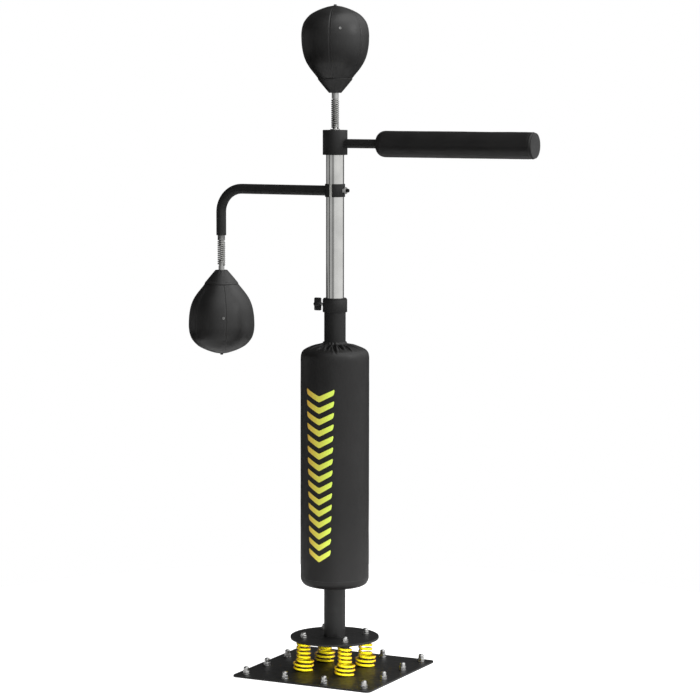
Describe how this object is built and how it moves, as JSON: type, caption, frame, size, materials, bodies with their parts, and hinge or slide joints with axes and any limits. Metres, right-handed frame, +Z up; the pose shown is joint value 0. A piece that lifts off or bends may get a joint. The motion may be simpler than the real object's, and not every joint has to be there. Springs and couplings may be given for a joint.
{
  "type": "spring reflex bag",
  "caption": "Free-standing reflex bag: padded column on base springs, height-adjustable mast, spinning padded bar, bent arm and sprung leather balls.",
  "frame": {"origin": "centre of the base plate's underside, on the column's axis", "axes": "+Z up along the column, +X along the padded bar at rest, the bent arm along -X"},
  "size_m": [1.0527, 0.426, 1.8577],
  "materials": {
    "black_powder": "satin",
    "zinc": "satin",
    "steel": "satin",
    "spring_steel": "satin",
    "black_screw": "satin",
    "yellow_spring": "gloss",
    "chrome_tube": "polished",
    "black_leather": "satin",
    "ball_leather": "satin",
    "foam": "matte",
    "black_webbing": "matte",
    "black_plastic": "satin",
    "grey_plastic": "satin",
    "nylon": "satin",
    "bladder_rubber": "matte",
    "black_rubber": "matte"
  },
  "bodies": {
    "base": {"base_plate": "black_powder", "hold_down_bolts": "zinc", "hold_down_washers": "zinc", "hold_down_nuts": "zinc", "hold_down_cap_nuts": "zinc", "lower_spring_seats": "black_powder", "seat_screws": "zinc"},
    "springs": {"base_spring_back_right": "yellow_spring", "base_spring_back_left": "yellow_spring", "base_spring_front_left": "yellow_spring", "base_spring_front_right": "yellow_spring"},
    "column": {"flange_plate": "black_powder", "upper_spring_seats": "black_powder", "flange_washers": "zinc", "flange_nuts": "zinc", "flange_cap_nuts": "zinc", "lower_tube": "black_powder", "bag_cover": "black_leather", "bag_core": "foam", "bag_neck_cuff": "black_webbing", "height_collar": "black_powder", "collar_bush": "black_plastic"},
    "knob_feed": {"knob_pad": "nylon"},
    "knob": {"wing_knob": "black_plastic", "knob_screw": "zinc"},
    "mast": {"mast_tube": "chrome_tube", "mast_foot_bush": "black_plastic", "hub_stop_ring": "steel", "mast_top_plug": "black_plastic", "top_spring_seat": "steel"},
    "bar": {"hub_sleeve": "black_powder", "hub_lower_bush": "nylon", "hub_upper_bush": "nylon", "bar_tube": "black_powder", "bar_foam": "foam", "bar_cover": "black_leather", "bar_end_disc": "grey_plastic"},
    "clamp_slider": {"clamp_liner": "nylon"},
    "arm": {"clamp_band": "black_powder", "clamp_nut": "zinc", "arm_tube": "black_powder", "arm_ferrule": "steel"},
    "clamp_feed": {"clamp_pad": "nylon"},
    "clamp_screw": {"clamp_screw": "black_screw"},
    "top_spring": {"top_ball_spring": "spring_steel"},
    "top_ball": {"top_ball_cover": "ball_leather", "top_ball_bladder": "bladder_rubber", "top_ball_cuff": "ball_leather", "top_ball_stem": "steel", "top_ball_nub": "black_rubber"},
    "arm_spring": {"arm_ball_spring": "spring_steel"},
    "arm_ball": {"arm_ball_cover": "ball_leather", "arm_ball_bladder": "bladder_rubber", "arm_ball_cuff": "ball_leather", "arm_ball_stem": "steel", "arm_ball_nub": "black_rubber"}
  },
  "joints": [
    {"name": "sway_side", "type": "hinge", "parent": "base", "child": "springs", "pos_m": [0, 0, 0.048], "axis": [1, 0, 0], "range_deg": [-10, 10], "stiffness_Nm_per_rad": 1000, "deforming": ["base_spring_back_right", "base_spring_back_left", "base_spring_front_left", "base_spring_front_right"]},
    {"name": "sway_front", "type": "hinge", "parent": "springs", "child": "column", "pos_m": [0, 0, 0.048], "axis": [0, 1, 0], "range_deg": [-10, 10], "stiffness_Nm_per_rad": 1000},
    {"name": "knob_advance", "type": "slide", "parent": "column", "child": "knob_feed", "axis": [-1, 0, 0], "range_m": [0, 0.00375]},
    {"name": "knob_turn", "type": "hinge", "parent": "knob_feed", "child": "knob", "pos_m": [-0.0436, 0, 1.031], "axis": [-1, 0, 0], "range_deg": [0, 1080]},
    {"name": "mast_height", "type": "slide", "parent": "column", "child": "mast", "axis": [0, 0, 1], "range_m": [-0.2, 0.1]},
    {"name": "bar_spin", "type": "hinge", "parent": "mast", "child": "bar", "pos_m": [0, 0, 1.476], "axis": [0, 0, 1], "continuous": true},
    {"name": "arm_height", "type": "slide", "parent": "mast", "child": "clamp_slider", "axis": [0, 0, 1], "range_m": [-0.05, 0.05]},
    {"name": "arm_swivel", "type": "hinge", "parent": "clamp_slider", "child": "arm", "pos_m": [0, 0, 1.347], "axis": [0, 0, 1], "continuous": true},
    {"name": "clamp_advance", "type": "slide", "parent": "arm", "child": "clamp_feed", "axis": [1, 0, 0], "range_m": [0, 0.0025]},
    {"name": "clamp_turn", "type": "hinge", "parent": "clamp_feed", "child": "clamp_screw", "pos_m": [0.035, 0, 1.348], "axis": [1, 0, 0], "range_deg": [0, 720]},
    {"name": "top_ball_side", "type": "hinge", "parent": "mast", "child": "top_spring", "pos_m": [0, 0, 1.5585], "axis": [1, 0, 0], "range_deg": [-30, 30], "stiffness_Nm_per_rad": 12, "deforming": ["top_ball_spring"]},
    {"name": "top_ball_front", "type": "hinge", "parent": "top_spring", "child": "top_ball", "pos_m": [0, 0, 1.5585], "axis": [0, 1, 0], "range_deg": [-30, 30], "stiffness_Nm_per_rad": 12},
    {"name": "arm_ball_side", "type": "hinge", "parent": "arm", "child": "arm_spring", "pos_m": [-0.362, 0, 1.164], "axis": [1, 0, 0], "range_deg": [-30, 30], "stiffness_Nm_per_rad": 12, "deforming": ["arm_ball_spring"]},
    {"name": "arm_ball_front", "type": "hinge", "parent": "arm_spring", "child": "arm_ball", "pos_m": [-0.362, 0, 1.164], "axis": [0, 1, 0], "range_deg": [-30, 30], "stiffness_Nm_per_rad": 12}
  ],
  "couplings": [
    {"joint": "knob_turn", "follows": "knob_advance", "rad_per_m": 5026.5},
    {"joint": "clamp_turn", "follows": "clamp_advance", "rad_per_m": 5026.5}
  ]
}
